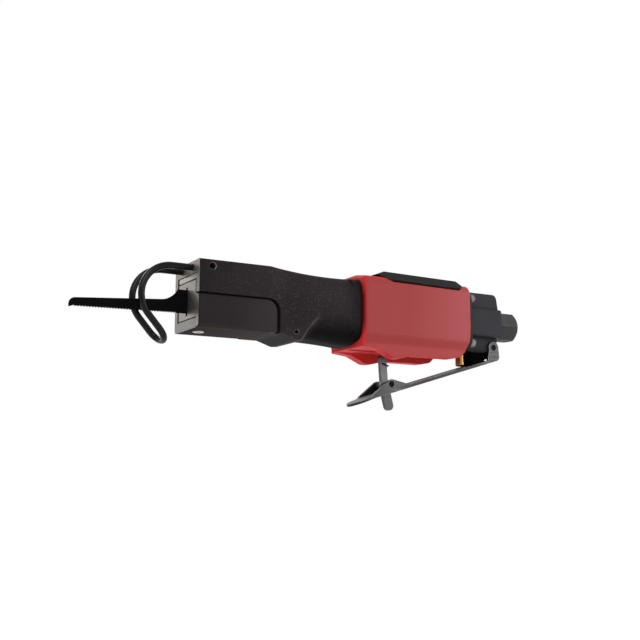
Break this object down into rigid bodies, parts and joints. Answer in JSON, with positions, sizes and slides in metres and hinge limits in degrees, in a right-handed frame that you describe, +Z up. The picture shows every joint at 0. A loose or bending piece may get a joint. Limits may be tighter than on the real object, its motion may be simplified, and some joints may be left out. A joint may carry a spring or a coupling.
{
  "type": "pneumatic reciprocating saw",
  "caption": "Hand-held in-line air saw: blade in a boxed nose with a wire guard, red grip, throttle lever with safety catch and hex air inlet.",
  "frame": {"origin": "centre of the mouth of the threaded air inlet, on the axis of the tool", "axes": "+X out of the air inlet along the axis, the blade points to -X; +Z up, away from the lever; Y = 0 is the plane of the blade"},
  "size_m": [0.2982, 0.045, 0.0838],
  "materials": {
    "black_casting": "black textured powder coat",
    "cover_black": "smooth black coat",
    "grip_red": "satin moulded red",
    "deflector_black": "matt moulded black",
    "cap_black": "black anodised",
    "lever_steel": "grey phosphated sheet",
    "dark_steel": "black oxide",
    "bright_steel": "ground bright",
    "zinc_steel": "zinc plated",
    "blade_steel": "black coated",
    "wire_black": "black dipped",
    "bar_steel": "machined",
    "bronze": "sintered bronze",
    "brass": "turned brass",
    "rubber": "moulded black rubber",
    "felt": "grey felt",
    "fibre": "fibre gasket"
  },
  "bodies": {
    "tool": {"main_housing": "black_casting", "blade_cover": "cover_black", "cover_screw": "zinc_steel", "guide_bar": "bar_steel", "wire_guard": "wire_black", "guard_set_screws": "dark_steel", "retaining_pin": "dark_steel", "rod_bushing": "bronze", "rod_seal": "rubber", "front_bumper": "rubber", "cylinder": "bright_steel", "cylinder_seals": "rubber", "valve_plate": "bright_steel", "valve_chest": "bright_steel", "cap_gasket": "fibre", "rear_cap": "cap_black", "cap_screws": "dark_steel", "inlet_bushing": "dark_steel", "inlet_seal": "fibre", "inlet_screen": "zinc_steel", "grip_sleeve": "grip_red", "exhaust_deflector": "deflector_black", "exhaust_muffler": "felt", "lever_pin": "dark_steel", "throttle_bushing": "brass", "throttle_spring": "zinc_steel"},
    "drive": {"piston": "bright_steel", "piston_rings": "dark_steel", "blade_holder": "dark_steel", "holder_screws": "dark_steel", "saw_blade": "blade_steel"},
    "lever": {"throttle_lever": "lever_steel", "catch_pin": "dark_steel"},
    "catch": {"safety_catch": "lever_steel", "catch_spring": "dark_steel"},
    "plunger": {"throttle_plunger": "brass", "throttle_ball": "bright_steel"},
    "valve": {"valve_disc": "bright_steel"}
  },
  "joints": [
    {"name": "blade_stroke", "type": "slide", "parent": "tool", "child": "drive", "axis": [1, 0, 0], "range_m": [-0.005, 0.005]},
    {"name": "lever_pivot", "type": "hinge", "parent": "tool", "child": "lever", "pos_m": [-0.021, 0, -0.0151], "axis": [0, 1, 0], "range_deg": [0, 8], "stiffness_Nm_per_rad": 4, "springref_deg": -3.44},
    {"name": "catch_pivot", "type": "hinge", "parent": "lever", "child": "catch", "pos_m": [-0.10012, 0, -0.04264], "axis": [0, -1, 0], "range_deg": [0, 80]},
    {"name": "plunger_slide", "type": "slide", "parent": "tool", "child": "plunger", "axis": [0, 0, 1], "range_m": [0, 0.003], "deforming": ["throttle_spring"]},
    {"name": "valve_flip", "type": "slide", "parent": "tool", "child": "valve", "axis": [1, 0, 0], "range_m": [-0.001, 0.001]}
  ],
  "couplings": [
    {"joint": "catch_pivot", "follows": "lever_pivot", "ratio": 10},
    {"joint": "plunger_slide", "follows": "lever_pivot", "m_per_rad": 0.0212},
    {"joint": "valve_flip", "follows": "blade_stroke", "ratio": 0.18}
  ]
}
